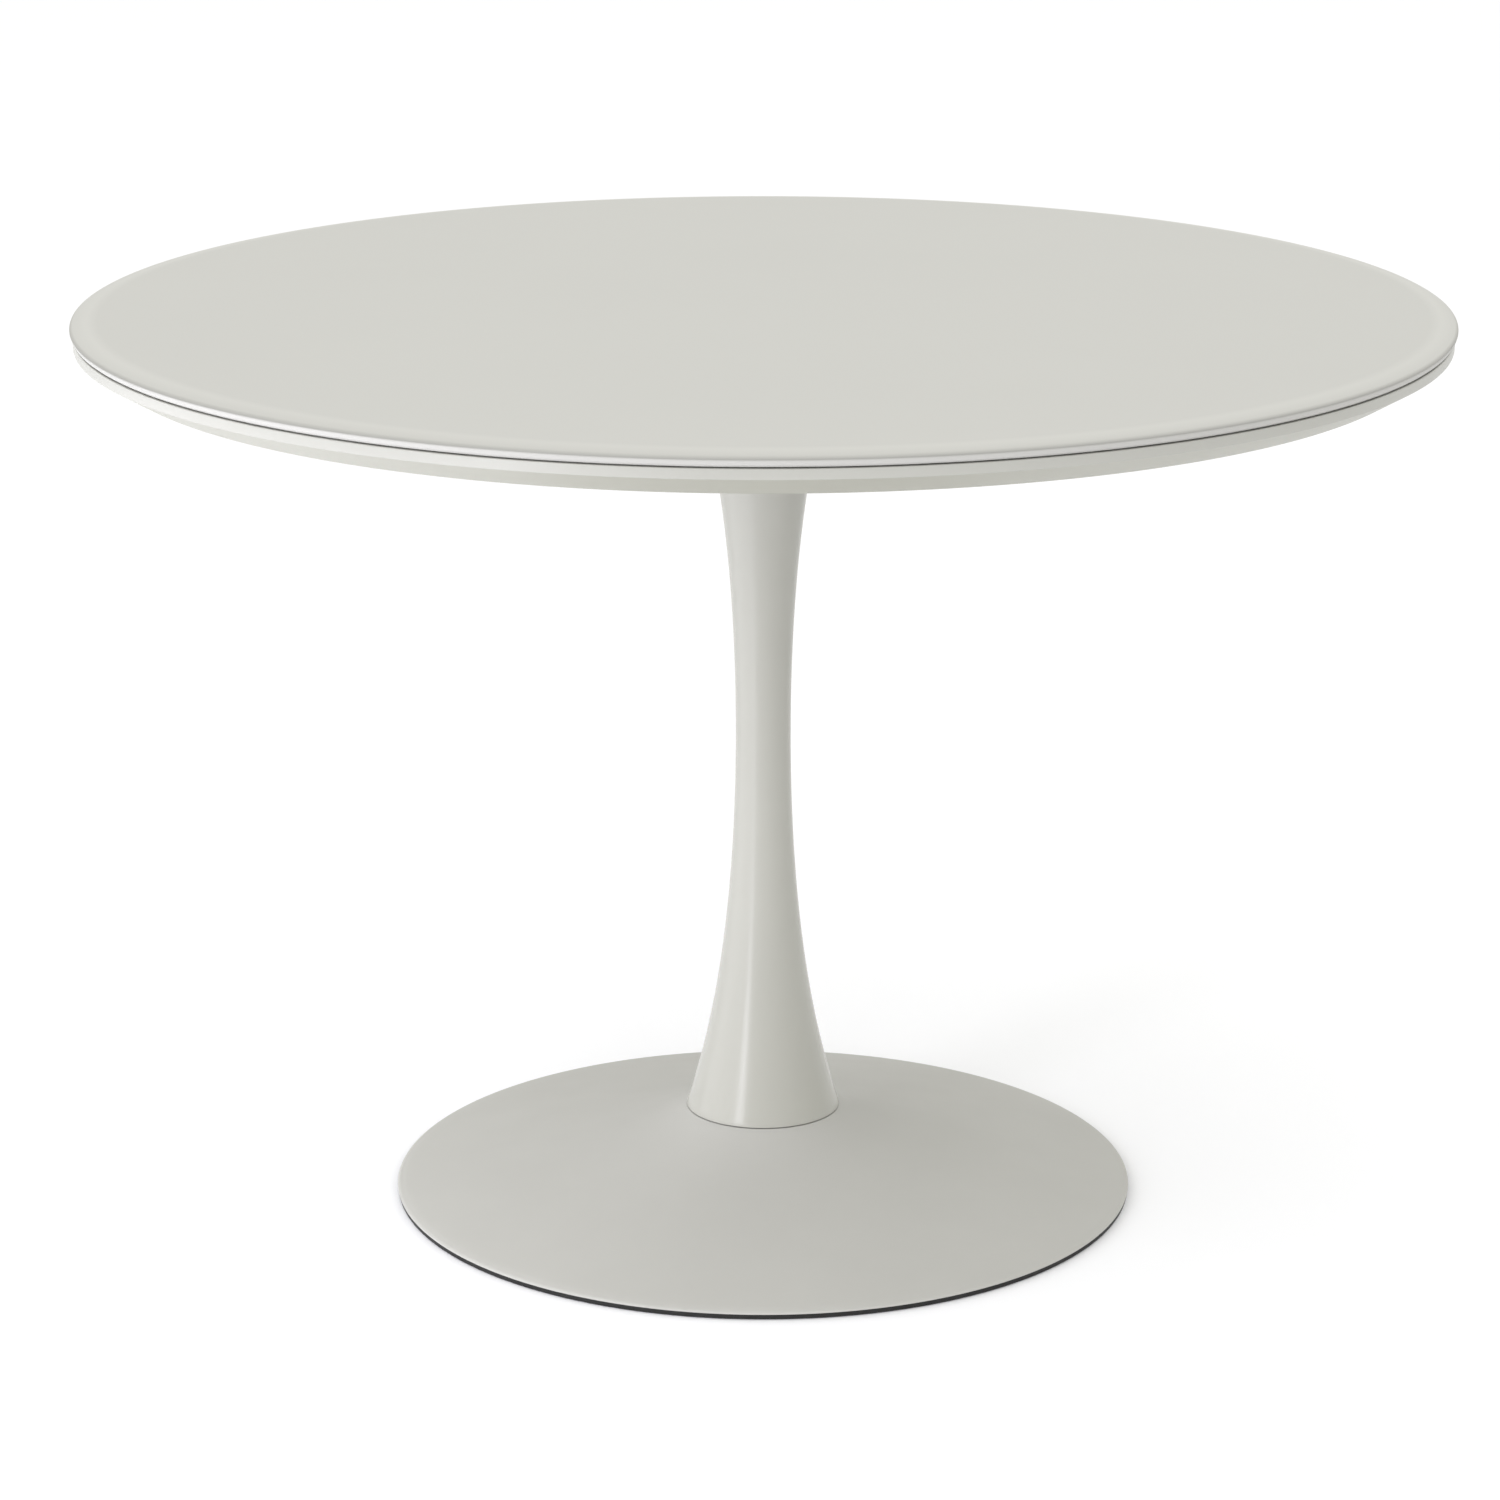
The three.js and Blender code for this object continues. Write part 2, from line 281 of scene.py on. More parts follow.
class Surface:
    """A Principled material with its noise nodes placed in the object's own metres."""

    def __init__(self, name):
        self.mat = bpy.data.materials.new(name)
        self.mat.use_nodes = True
        self.tree = self.mat.node_tree
        self.shader = self.tree.nodes["Principled BSDF"]
        self.coord = self.tree.nodes.new("ShaderNodeTexCoord")
        self.bump_from = None

    def link(self, a, b):
        self.tree.links.new(a, b)

    def set(self, **sockets):
        for k, v in sockets.items():
            self.shader.inputs[k.replace("_", " ")].default_value = v
        return self

    def noise(self, scale, detail=3.0, rough=0.55, stretch=None, distortion=0.0):
        n = self.tree.nodes.new("ShaderNodeTexNoise")
        n.inputs["Scale"].default_value = scale
        n.inputs["Detail"].default_value = detail
        n.inputs["Roughness"].default_value = rough
        n.inputs["Distortion"].default_value = distortion
        if stretch:
            m = self.tree.nodes.new("ShaderNodeMapping")
            m.inputs["Scale"].default_value = stretch
            self.link(self.coord.outputs["Object"], m.inputs["Vector"])
            self.link(m.outputs["Vector"], n.inputs["Vector"])
        else:
            self.link(self.coord.outputs["Object"], n.inputs["Vector"])
        return n.outputs["Fac"]

    def ramp(self, fac, stops):
        r = self.tree.nodes.new("ShaderNodeValToRGB")
        e = r.color_ramp.elements
        while len(e) < len(stops):
            e.new(0.5)
        for el, (pos, colour) in zip(e, stops):
            el.position = pos
            el.color = (*colour[:3], 1)
        self.link(fac, r.inputs["Fac"])
        return r.outputs["Color"]

    def colour(self, fac, stops):
        self.link(self.ramp(fac, stops), self.shader.inputs["Base Color"])
        return self

    def spread(self, fac, lo, hi, a=0.3, b=0.7):
        m = self.tree.nodes.new("ShaderNodeMapRange")
        m.inputs["From Min"].default_value = a
        m.inputs["From Max"].default_value = b
        m.inputs["To Min"].default_value = lo
        m.inputs["To Max"].default_value = hi
        self.link(fac, m.inputs["Value"])
        return m.outputs["Result"]

    def rough(self, fac, lo, hi):
        self.link(self.spread(fac, lo, hi), self.shader.inputs["Roughness"])
        return self

    def bump(self, fac, distance, strength=1.0):
        b = self.tree.nodes.new("ShaderNodeBump")
        b.inputs["Strength"].default_value = strength
        b.inputs["Distance"].default_value = distance
        self.link(fac, b.inputs["Height"])
        if self.bump_from is not None:
            self.link(self.bump_from, b.inputs["Normal"])
        self.bump_from = b.outputs["Normal"]
        self.link(self.bump_from, self.shader.inputs["Normal"])
        return self

    def radius(self):
        """Distance from the table's axis, in metres."""
        sep = self.tree.nodes.new("ShaderNodeSeparateXYZ")
        self.link(self.coord.outputs["Object"], sep.inputs[0])
        com = self.tree.nodes.new("ShaderNodeCombineXYZ")
        self.link(sep.outputs["X"], com.inputs["X"])
        self.link(sep.outputs["Y"], com.inputs["Y"])
        length = self.tree.nodes.new("ShaderNodeVectorMath")
        length.operation = "LENGTH"
        self.link(com.outputs[0], length.inputs[0])
        return length.outputs["Value"]

    def height(self):
        sep = self.tree.nodes.new("ShaderNodeSeparateXYZ")
        self.link(self.coord.outputs["Object"], sep.inputs[0])
        return sep.outputs["Z"]

    def math(self, op, a, b=0.5):
        m = self.tree.nodes.new("ShaderNodeMath")
        m.operation = op
        for i, v in enumerate((a, b)):
            if isinstance(v, (int, float)):
                m.inputs[i].default_value = v
            else:
                self.link(v, m.inputs[i])
        return m.outputs[0]

    def mix(self, fac, a, b):
        m = self.tree.nodes.new("ShaderNodeMix")
        m.data_type = "RGBA"
        if isinstance(fac, (int, float)):
            m.inputs["Factor"].default_value = fac
        else:
            self.link(fac, m.inputs["Factor"])
        for sock, v in ((m.inputs[6], a), (m.inputs[7], b)):
            if isinstance(v, tuple):
                sock.default_value = (*v[:3], 1)
            else:
                self.link(v, sock)
        return m.outputs[2]


def shade(c, k):
    return tuple(x * k for x in c)


def paint(name, colour, rough, grain, peel, spec=0.5, mottle=0.012, drift=0.015, waves=70.0):
    """Sprayed paint: slow tone drift, orange peel and, for powder coat, a fine grain."""
    s = Surface(name)
    s.set(Specular_IOR_Level=spec)
    s.colour(
        s.noise(7.0, 4.0, 0.6),
        [(0.3, shade(colour, 1 - mottle)), (0.7, shade(colour, 1 + mottle))],
    )
    s.rough(s.noise(22.0, 1.0, 0.5), rough - drift, rough + drift)
    if peel:
        s.bump(s.noise(waves, 1.0, 0.4), peel)
    if grain:
        s.bump(s.noise(1500.0, 2.0, 0.6), grain)
    return s


GREY_TOP = (0.495, 0.491, 0.477)
GREY_BOARD = (0.427, 0.425, 0.400)
# chamfer colour: the board lacquer darkened and warmed, painted shade for the downward-facing chamfer
CHAMFER_SHADE = (0.374, 0.372, 0.326)
GREY_COLUMN = (0.427, 0.423, 0.390)
GREY_BASE = (0.476, 0.471, 0.454)

# Back-painted glass: the paint lies flat behind the slab, so at the rolled edge it
# is still seen flat, through a clear face that keeps its own curve and gloss.
glass = Surface("back_painted_glass")
glass.set(Specular_IOR_Level=0.0, Roughness=0.6, Coat_Weight=1.0, Coat_IOR=1.52, Coat_Roughness=0.34)
tone = glass.ramp(
    glass.noise(2.6, 4.0, 0.6),
    [(0.3, shade(GREY_TOP, 0.99)), (0.7, shade(GREY_TOP, 1.01))],
)
fleck = glass.ramp(
    glass.noise(1300.0, 2.0, 0.5),
    [(0.35, (0.985, 0.985, 0.985)), (0.65, (1.0, 1.0, 1.0))],
)
tint = glass.tree.nodes.new("ShaderNodeMix")
tint.data_type = "RGBA"
tint.blend_type = "MULTIPLY"
tint.inputs["Factor"].default_value = 1.0
glass.link(tone, tint.inputs[6])
glass.link(fleck, tint.inputs[7])
# Where the rolled edge begins a pale ring is painted into the colour, a painted highlight for the light that the slab
# gathers there; it fades towards its side.
reach = glass.radius()
ring = glass.math("MULTIPLY", glass.spread(reach, 0.0, 1.0, 0.528, 0.536), glass.spread(reach, 1.0, 0.5, 0.538, 0.546))
side = glass.spread(reach, 0.0, 1.0, 0.5475, 0.5492)
face = glass.mix(ring, tint.outputs[2], shade(GREY_TOP, 1.08))
glass.link(glass.spread(reach, 1.0, 0.3, 0.5475, 0.5492), glass.shader.inputs["Coat Weight"])
glass.link(glass.mix(side, face, shade(GREY_TOP, 0.99)), glass.shader.inputs["Base Color"])
glass.rough(glass.noise(24.0, 4.0, 0.6), 0.56, 0.64)
geometry = glass.tree.nodes.new("ShaderNodeNewGeometry")
flat = glass.tree.nodes.new("ShaderNodeMix")
flat.data_type = "VECTOR"
facing = glass.tree.nodes.new("ShaderNodeSeparateXYZ")
glass.link(geometry.outputs["Normal"], facing.inputs[0])
glass.link(glass.spread(facing.outputs["Z"], 0.0, 0.65, -0.4, 0.2), flat.inputs[0])
glass.link(geometry.outputs["Normal"], flat.inputs[4])
flat.inputs[5].default_value = (0, 0, 1)
unit = glass.tree.nodes.new("ShaderNodeVectorMath")
unit.operation = "NORMALIZE"
glass.link(flat.outputs[1], unit.inputs[0])
glass.link(unit.outputs["Vector"], glass.shader.inputs["Normal"])
ripple = glass.tree.nodes.new("ShaderNodeBump")
ripple.inputs["Strength"].default_value = 1.0
ripple.inputs["Distance"].default_value = 0.000004
glass.link(glass.noise(900.0, 2.0, 0.5), ripple.inputs["Height"])
glass.link(ripple.outputs["Normal"], glass.shader.inputs["Coat Normal"])

board_paint = paint("board_lacquer", GREY_BOARD, 0.36, 0.0, 0.000010)
# The downward-facing chamfer is painted darker and warmer than the band: painted shade for the dimmer light that
# reaches it.
lacquer = board_paint.shader.inputs["Base Color"].links[0].from_socket
chamfer_shade_mask = board_paint.spread(board_paint.height(), 1.0, 0.0, 0.7244, 0.7252)
board_paint.link(board_paint.mix(chamfer_shade_mask, lacquer, CHAMFER_SHADE), board_paint.shader.inputs["Base Color"])
column_paint = paint("column_satin_paint", GREY_COLUMN, 0.23, 0.0, 0.000005)
base_paint = paint("base_powder_coat", GREY_BASE, 0.54, 0.000030, 0.0, spec=0.4, mottle=0.015, drift=0.03)

bond = Surface("bond_adhesive")
bond.set(Specular_IOR_Level=0.2)
bond.colour(bond.noise(260.0), [(0.3, (0.120, 0.117, 0.106)), (0.7, (0.160, 0.156, 0.142))])
bond.rough(bond.noise(500.0), 0.75, 0.9)
bond.bump(bond.noise(700.0), 0.00008)

rubber = Surface("black_rubber")
rubber.set(Specular_IOR_Level=0.35)
rubber.colour(rubber.noise(90.0), [(0.3, (0.010, 0.010, 0.0098)), (0.7, (0.018, 0.018, 0.0175))])
rubber.rough(rubber.noise(160.0), 0.48, 0.64)
rubber.bump(rubber.noise(1500.0, 3.0, 0.6), 0.00003)

black = Surface("black_powder_coat")
black.set(Specular_IOR_Level=0.4)
black.colour(black.noise(30.0), [(0.3, (0.018, 0.018, 0.018)), (0.7, (0.030, 0.030, 0.029))])
black.rough(black.noise(120.0), 0.5, 0.62)
black.bump(black.noise(1700.0, 2.0, 0.6), 0.00005)

# Turned iron under grey primer: faint rings from the lathe tool.
iron = Surface("turned_iron")
iron.set(Metallic=0.75, Specular_IOR_Level=0.5)
iron.colour(iron.noise(18.0, 5.0, 0.65), [(0.3, (0.060, 0.058, 0.055)), (0.7, (0.115, 0.110, 0.103))])
iron.rough(iron.noise(60.0, 4.0), 0.45, 0.62)
rings = iron.math("SINE", iron.math("MULTIPLY", iron.radius(), 3200.0))
iron.bump(rings, 0.000018)
iron.bump(iron.noise(300.0), 0.00003)

zinc = Surface("zinc_plated_steel")
zinc.set(Metallic=1.0)
zinc.colour(zinc.noise(420.0, 4.0), [(0.3, (0.52, 0.53, 0.53)), (0.7, (0.68, 0.69, 0.70))])
zinc.rough(zinc.noise(800.0), 0.26, 0.40)
zinc.bump(zinc.noise(2600.0), 0.000012)

brass = Surface("turned_brass")
brass.set(Metallic=1.0)
brass.colour(brass.noise(300.0, 4.0), [(0.3, (0.56, 0.37, 0.14)), (0.7, (0.68, 0.48, 0.21))])
brass.rough(brass.noise(600.0), 0.22, 0.36)
brass.bump(brass.noise(2000.0), 0.000012)


def dress(obj, surface, slot, *nodes):
    """Gives a piece its material, its body and the CAD nodes that it stands for."""
    obj.data.materials.clear()
    obj.data.materials.append(surface.mat)
    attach(obj, "root")
    if nodes:
        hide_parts(*nodes)
    return obj


# ------------------------------------------------------------------------- top
top_places = [mid(f"board_screw_{i}") / MM for i in range(1, 7)]
head_places = [mid(f"head_screw_{i}") / MM for i in range(1, 5)]
foot_places = [mid(f"foot_bolt_{i}") / MM for i in range(1, 5)]
top_xy = [(p.x, p.y) for p in top_places]
head_xy = [(p.x, p.y) for p in head_places]
foot_xy = [(p.x, p.y) for p in foot_places]

T = TOP_Z
R = TOP_R
edge = smooth_curve(
    [
        (R - 26, T),
        (R - 22, T - 0.08),
        (R - 17, T - 0.36),
        (R - 12, T - 0.88),
        (R - 7, T - 1.72),
        (R - 3.2, T - 2.72),
        (R - 1.1, T - 3.75),
        (R - 0.2, T - 4.9),
        (R - 0.06, T - 6.2),
        (R - 0.5, T - 7.8),
    ],
    6,
)[:-1] + fillet(
    [
        (R - 0.5, T - 7.8, 0),
        (R - 1.2, T - 9.4, 0.6),
        (R - 3.6, GLASS_Z, 0.7),
        (R - 9.0, GLASS_Z, 0),
    ],
    4,
)
glass_profile = (
    [(0, T)]
    + [(x, T) for x in (120, 240, 340, 420, 470, 500, 515)]
    + edge
    + [(x, GLASS_Z) for x in (500, 400, 250)]
    + [(0, GLASS_Z)]
)
glass_top = turned("top_glass_slab", glass_profile, 384, angle=40)
dress(glass_top, glass, "top_glass", "glass_top")

bond_layer = turned(
    "glass_bond_line",
    [(0, GLASS_Z)]
    + fillet([(BOND_R, GLASS_Z, 0), (BOND_R - 0.4, GLASS_Z - 0.5, 0), (BOND_R, BOND_Z, 0)])
    + [(0, BOND_Z)],
    256,
)
dress(bond_layer, bond, "bond_adhesive", "glass_bond_layer")

B = BOARD_R
BAND_LOW_Z = BOARD_Z + 16.0
board_outline = fillet(
    [
        (0, BOND_Z, 0),
        (B - 30, BOND_Z, 0),
        (B, BOND_Z, 0.7),
        (B, BAND_LOW_Z, 0.45),
        (520.0, BOARD_Z, 0.8),
        (480.0, BOARD_Z, 0),
        (0, BOARD_Z, 0),
    ],
    5,
)
board = turned("top_board_body", board_outline, 384, angle=25)
drill(board, top_xy, 5.3, BOARD_Z - 1, BOARD_Z + 15, 32)
dress(board, board_paint, "board_paint", "top_board")

plate = turned(
    "support_plate_disc",
    fillet(
        [
            (0, PLATE_Z, 0),
            (PLATE_R, PLATE_Z, 0.8),
            (PLATE_R, PLATE_Z + 4, 0.4),
            (0, PLATE_Z + 4, 0),
        ],
        4,
    ),
    192,
)
drill(plate, top_xy, 3.4, PLATE_Z - 1, PLATE_Z + 5, 40)
cut(
    plate,
    [
        turned(
            f"sink{i}",
            [(0, -1), (4.5, -1), (4.5, 0), (8.5, 4), (8.5, 5), (0, 5)],
            48,
            (x, y, PLATE_Z),
        )
        for i, (x, y) in enumerate(head_xy)
    ],
)
dress(plate, black, "black_steel", "support_plate")

for i, (x, y) in enumerate(top_xy, 1):
    # knurled insert with a chamfered mouth
    outline = [(3.3, 0.5), (3.7, 0.0), (4.6, 0.0), (4.98, 0.4)]
    outline += [(4.98, 0.9)] + threads(4.98, 4.35, 1.0, 12.2, 1.6) + [(4.5, 12.5), (4.2, 13.0), (3.3, 13.0)]
    ins = turned(f"board_insert_{i}_brass", outline, 48, (x, y, BOARD_Z))
    dress(ins, brass, "insert_brass", f"board_insert_{i}")

    w = turned(
        f"board_washer_{i}_flat",
        fillet([(3.3, 0, 0.15), (6.0, 0, 0.35), (6.0, 1.6, 0.15), (3.3, 1.6, 0.15)], 3),
        64,
        (x, y, PLATE_Z - 1.6),
    )
    dress(w, zinc, "zinc_steel", f"board_washer_{i}")

    head = fillet([(0, -3.4, 0), (4.5, -3.4, 0.6), (5.2, -0.05, 0.1), (5.2, 0, 0)], 4)
    outline = head + [(3.0, 0), (3.0, 4.0)] + threads(2.98, 2.5, 4.0, 15.0, 1.0) + [(2.4, 15.6), (2.0, 16.0), (0, 16.0)]
    screw = turned(f"board_screw_{i}_m6", outline, 48, (x, y, PLATE_Z - 1.6))
    cut(screw, [hexagon("socket", 3.5, -4.0, -1.5, (x, y, PLATE_Z - 1.6), 0.3 * i)])
    dress(screw, zinc, "zinc_steel", f"board_screw_{i}")

# ---------------------------------------------------------------------- column
WAIST_Z = (COL_FOOT_Z + 392.8 + 392.8 - COL_FOOT_Z) / 2
HALF = WAIST_Z - COL_FOOT_Z


def column_r(z):
    t = (z - WAIST_Z) / HALF
    return 22.6 + 29.6 * t * t + 11.6 * t**4


def column_in(z):
    s = column_r(z + 0.5) - column_r(z - 0.5)
    return column_r(z) - 1.5 * math.hypot(1, s)


zs = [COL_FOOT_Z + (COL_HEAD_Z - COL_FOOT_Z) * k / 120 for k in range(121)]
outer = [(column_r(z) - 0.02, z) for z in zs]
inner = [(column_in(z), z) for z in reversed(zs)]
# the foot edge is trimmed square and lightly broken
outer[0] = (outer[0][0] - 0.42, outer[0][1])
outer.insert(1, (column_r(COL_FOOT_Z + 0.12) - 0.16, COL_FOOT_Z + 0.12))
outer.insert(2, (column_r(COL_FOOT_Z + 0.45) - 0.03, COL_FOOT_Z + 0.45))
column = turned("column_trumpet", outer + inner, 192, angle=40)
dress(column, column_paint, "column_paint", "column_shell")

for name, z0, z1, xy, slot_node, r0, r1 in (
    (
        "column_head_plate_disc",
        COL_HEAD_Z - 8,
        COL_HEAD_Z,
        head_xy,
        "column_head_plate",
        column_in(COL_HEAD_Z - 8) - 0.4,
        column_in(COL_HEAD_Z) - 0.4,
    ),
    (
        "column_foot_plate_disc",
        BASE_TOP_Z,
        BASE_TOP_Z + 10,
        foot_xy,
        "column_foot_plate",
        mm(high("column_foot_plate").x),
        column_in(BASE_TOP_Z + 10) - 0.4,
    ),
):
    r0 = min(r0, mm(high(slot_node).x))
    r1 = min(r1, mm(high(slot_node).x))
    disc = turned(
        name,
        fillet([(0, z0, 0), (r0, z0, 0.5), (r1, z1, 0.5), (0, z1, 0)], 4),
        128,
    )
    drill(disc, xy, 4.3, z0 - 1, z1 + 1, 40)
    dress(disc, black, "black_steel", slot_node)

for i, (x, y) in enumerate(head_xy, 1):
    outline = [(0, -16.0), (3.2, -16.0), (3.6, -15.5)] + threads(3.98, 3.4, -15.4, -5.2, 1.25)
    outline += [(4.0, -4.6), (4.0, -4.2), (7.8, -0.42), (7.88, -0.3), (7.88, -0.05), (7.8, 0), (0, 0)]
    screw = turned(f"head_screw_{i}_m8", outline, 48, (x, y, PLATE_Z + 4))
    cut(screw, [hexagon("socket", 5.0, -3.0, 1.0, (x, y, PLATE_Z + 4), 0.5 * i)])
    dress(screw, zinc, "zinc_steel", f"head_screw_{i}")

# ------------------------------------------------------------------------ base
NECK_R, SLOPE, EXTRA, FADE = 64.5, 0.185, 0.43, 38.0


def fade(r):
    return math.exp(-(r - NECK_R) / FADE)


def cone(r):
    return 8 + SLOPE * (300 - r) + EXTRA * FADE * (fade(r) - fade(300))


def base_z(r):
    return cone(r) + (BASE_TOP_Z - 0.4 - cone(NECK_R)) * fade(r) ** 2


def base_in(r):
    s = base_z(r + 0.5) - base_z(r - 0.5)
    return base_z(r) - 2 * math.hypot(1, s)


radii = [65.6 + (294 - 65.6) * (k / 90) ** 1.25 for k in range(91)]
lip = smooth_curve(
    [
        (296.5, base_z(296.5) - 0.02),
        (299.5, base_z(299.5) - 0.12),
        (302.2, base_z(302.2) - 0.45),
        (304.4, 6.45),
        (305.8, 5.55),
        (BASE_R - 0.03, 4.75),
        (BASE_R - 0.25, 4.2),
        (BASE_R - 0.7, RING_T + 0.02),
    ],
    5,
)
shell = (
    [(0, BASE_TOP_Z)]
    + fillet([(0, BASE_TOP_Z, 0), (63.9, BASE_TOP_Z, 0.5), (65.6, base_z(65.6), 0), (67, base_z(67), 0)], 5)[1:-2]
    + [(r, base_z(r)) for r in radii]
    + lip
    + [(BASE_R - 3.2, RING_T + 0.02), (302.4, 5.0), (299.0, 6.0)]
    + [(r, base_in(r)) for r in reversed([68 + (294 - 68) * (k / 40) ** 1.25 for k in range(41)])]
    + fillet([(68, base_in(68), 0), (62.5, HUB_TOP_Z, 1.5), (0, HUB_TOP_Z, 0)], 4)[1:-1]
    + [(0, HUB_TOP_Z)]
)
base = turned("base_cover", shell, 320, angle=32)
drill(base, foot_xy, 4.5, HUB_TOP_Z - 1, BASE_TOP_Z + 1, 40)
dress(base, base_paint, "base_paint", "base_shell")

hub = turned(
    "hub_plate_disc",
    fillet([(0, HUB_Z, 0), (HUB_R, HUB_Z, 0.8), (HUB_R, HUB_TOP_Z, 0.8), (0, HUB_TOP_Z, 0)], 4),
    128,
)
drill(hub, foot_xy, 4.5, HUB_Z - 1, HUB_TOP_Z + 1, 40)
dress(hub, black, "black_steel", "hub_plate")

tube = turned(
    "hub_tube_stub",
    fillet(
        [
            (TUBE_R - 3, BALLAST_TOP_Z, 0.3),
            (TUBE_R, BALLAST_TOP_Z, 0.3),
            (TUBE_R, HUB_Z, 0.3),
            (TUBE_R - 3, HUB_Z, 0.3),
        ],
        3,
    ),
    128,
)
dress(tube, black, "black_steel", "hub_tube")

ballast = turned(
    "ballast_plate_iron",
    fillet(
        [
            (44, RING_T, 1.0),
            (BALLAST_R, RING_T, 0.5),
            (BALLAST_R, RING_T + 4, 0.5),
            (245, RING_T + 4, 1.5),
            (243, BALLAST_TOP_Z, 1.0),
            (44, BALLAST_TOP_Z, 1.0),
        ],
        4,
    ),
    256,
)
dress(ballast, iron, "ballast_iron", "ballast_plate")

ring = turned(
    "rubber_foot_ring",
    fillet(
        [
            (270, 0, 0.6),
            (RING_R, 0, 1.3),
            (RING_R, RING_T, 0.5),
            (270, RING_T, 0.4),
        ],
        7,
    ),
    320,
)
dress(ring, rubber, "ring_rubber", "foot_ring")

for i, (x, y) in enumerate(foot_xy, 1):
    w = turned(
        f"foot_flat_washer_{i}_zinc",
        fillet([(4.4, 0, 0.15), (8.0, 0, 0.4), (8.0, 1.6, 0.15), (4.4, 1.6, 0.15)], 3),
        64,
        (x, y, HUB_Z - 1.6),
    )
    dress(w, zinc, "zinc_steel", f"foot_flat_washer_{i}")

    # split washer: a square-section coil, one end a little higher than the other
    bm = bmesh.new()
    n = 56
    span = math.radians(349)
    sections = []
    for k in range(n + 1):
        a = span * k / n + math.radians(5.5)
        lift = 0.25 * (k / n)
        sec = []
        for rr, zz in ((4.45, 0.05), (6.5, 0.05), (6.5, 1.70), (4.45, 1.70)):
            sec.append(
                bm.verts.new(
                    (
                        (x + rr * math.cos(a)) * MM,
                        (y + rr * math.sin(a)) * MM,
                        (HUB_Z - 3.6 + zz + lift) * MM,
                    )
                )
            )
        sections.append(sec)
    for k in range(n):
        p, q = sections[k], sections[k + 1]
        for j in range(4):
            m = (j + 1) % 4
            bm.faces.new((p[j], q[j], q[m], p[m]))
    bm.faces.new(sections[0])
    bm.faces.new(sections[-1][::-1])
    sw = new_object(f"foot_spring_washer_{i}_zinc", finish_mesh(bm, f"foot_spring_washer_{i}"))
    dress(sw, zinc, "zinc_steel", f"foot_spring_washer_{i}")

    # hexagon head with turned corners, then the shank
    zb = HUB_Z - 3.6
    head = hexagon(f"foot_bolt_{i}_m8", 12.9, -5.3, 0, (x, y, zb), math.radians(30))
    shape = turned("shape", [(0, -5.3), (6.35, -5.3), (7.6, -4.5), (7.6, 0), (0, 0)], 64, (x, y, zb))
    cut(head, [shape], "INTERSECT")
    outline = [(0, -1.0), (3.95, -1.0), (3.95, 3.0)] + threads(3.98, 3.4, 3.0, 21.5, 1.25) + [(3.2, 22.2), (2.9, 22.4), (0, 22.4)]
    shank = turned("shank", outline, 48, (x, y, zb))
    cut(head, [shank], "UNION")
    dress(head, zinc, "zinc_steel", f"foot_bolt_{i}")

# ------------------------------------------------------- floor, light and view
floor_mesh = bpy.data.meshes.new("studio_floor")
bm = bmesh.new()
bmesh.ops.create_circle(bm, cap_ends=True, radius=40.0, segments=96)
bm.to_mesh(floor_mesh)
bm.free()
floor = new_object("studio_floor", floor_mesh)
floor_mat = bpy.data.materials.new("studio_floor")
floor_mat.use_nodes = True
floor_bsdf = floor_mat.node_tree.nodes["Principled BSDF"]
floor_bsdf.inputs["Base Color"].default_value = (0.935, 0.935, 0.975, 1)
floor_bsdf.inputs["Emission Color"].default_value = (1.0, 1.0, 1.0, 1)
floor_bsdf.inputs["Emission Strength"].default_value = 0.04
floor_bsdf.inputs["Roughness"].default_value = 0.85
floor_bsdf.inputs["Specular IOR Level"].default_value = 0.2
floor.data.materials.append(floor_mat)
floor.location.z = -0.0004

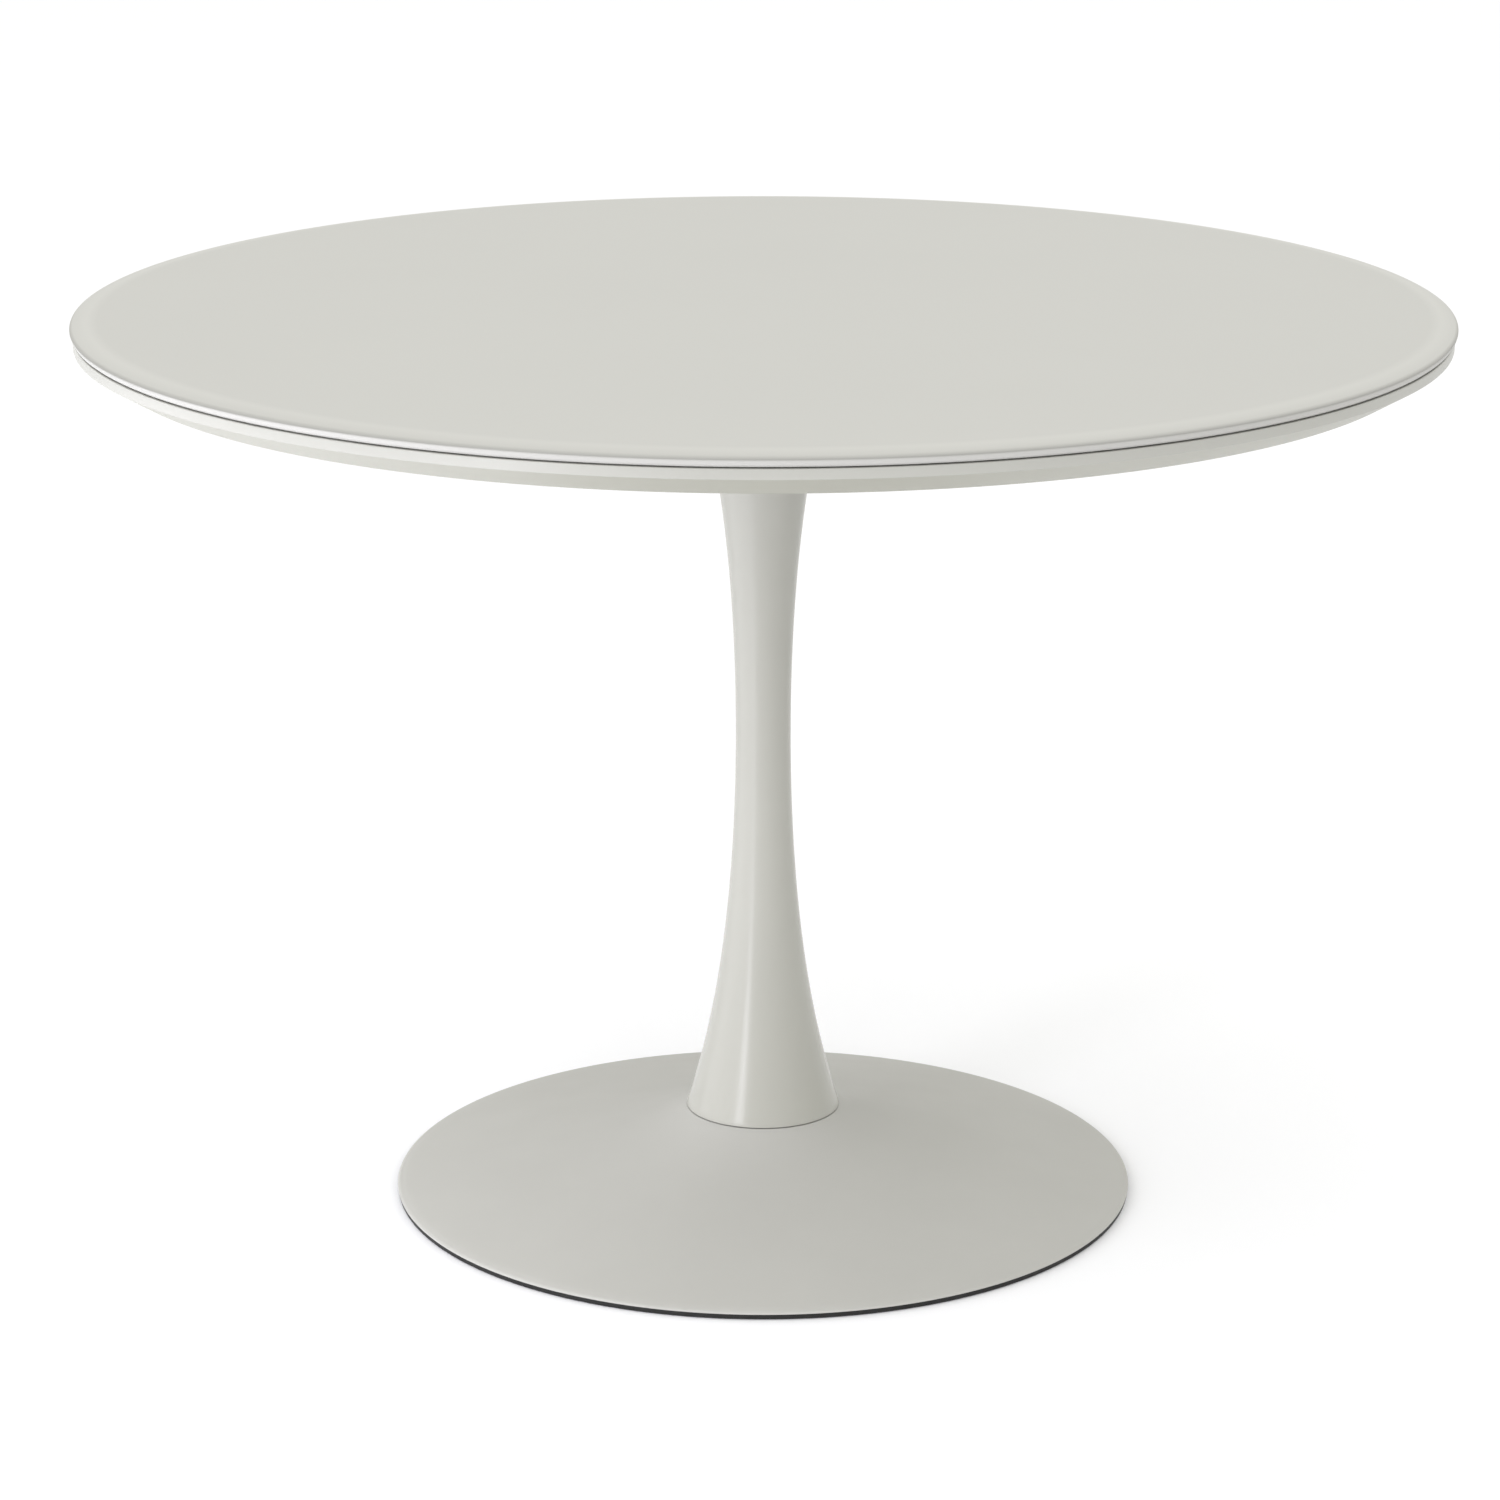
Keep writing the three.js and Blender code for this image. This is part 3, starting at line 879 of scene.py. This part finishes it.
# A soft sky, paler overhead than at the horizon.
world = bpy.data.worlds.new("studio")
scene.world = world
world.use_nodes = True
background = world.node_tree.nodes["Background"]
sky_at = world.node_tree.nodes.new("ShaderNodeTexCoord")
sky_xyz = world.node_tree.nodes.new("ShaderNodeSeparateXYZ")
sky = world.node_tree.nodes.new("ShaderNodeMapRange")
sky.inputs["From Min"].default_value = 0.0
sky.inputs["From Max"].default_value = 0.7
sky.inputs["To Min"].default_value = 0.834
sky.inputs["To Max"].default_value = 0.834 + 0.237
world.node_tree.links.new(sky_at.outputs["Generated"], sky_xyz.inputs[0])
world.node_tree.links.new(sky_xyz.outputs["Z"], sky.inputs["Value"])
world.node_tree.links.new(sky.outputs["Result"], background.inputs["Strength"])
background.inputs["Color"].default_value = (1.0, 1.0, 0.95, 1)


def area(name, at, look, width, height, radiance, tint=(1.0, 1.0, 1.0)):
    """A softbox of an even brightness, set as radiance, that the camera doesn't see."""
    light = bpy.data.lights.new(name, "AREA")
    light.shape = "RECTANGLE"
    light.size = width
    light.size_y = height
    light.energy = math.pi * width * height * radiance
    light.color = tint
    obj = bpy.data.objects.new(name, light)
    collection.objects.link(obj)
    obj.location = at
    obj.rotation_euler = (Vector(look) - Vector(at)).to_track_quat("-Z", "Y").to_euler()
    obj.visible_camera = False
    return obj


area("softbox_left", (-3.4, -1.7, 2.0), (-0.1, -1.7, 1.6), 6.0, 3.6, 0.266)
area("panel_left", (-0.95, -0.335, 0.375), (-0.037, 0.072, 0.375), 1.72, 0.75, 1.06, (0.975, 0.975, 1.045))
area("strip_front_left", (-1.99, -2.84, 1.55), (0.0, 0.0, 0.9), 0.66, 2.8, 3.853, (0.98, 0.98, 1.04))
area("strip_near_left", (-1.03, -1.34, 0.36), (0.0, 0.0, 0.36), 0.20, 0.72, 3.5, (0.97, 0.97, 1.06))
area("softbox_front", (0.4, -5.5, 3.6), (0.0, 0.0, 0.4), 4.0, 2.0, 1.075)
area("softbox_right", (2.6, 0.2, 3.0), (0.0, 0.0, 0.7), 2.4, 2.4, 0.42)

camera_data = bpy.data.cameras.new("camera")
camera_data.sensor_width = 36.0
camera_data.lens = 4787.6 * 36.0 / 1500.0
camera_data.clip_end = 100.0
camera = bpy.data.objects.new("camera", camera_data)
collection.objects.link(camera)
camera.location = (-0.01085, -3.7763, 1.4520)
camera.rotation_euler = (math.pi / 2 - 0.2778, 0.0, 0.0)
scene.camera = camera

scene.view_settings.view_transform = "Standard"
scene.view_settings.look = "None"
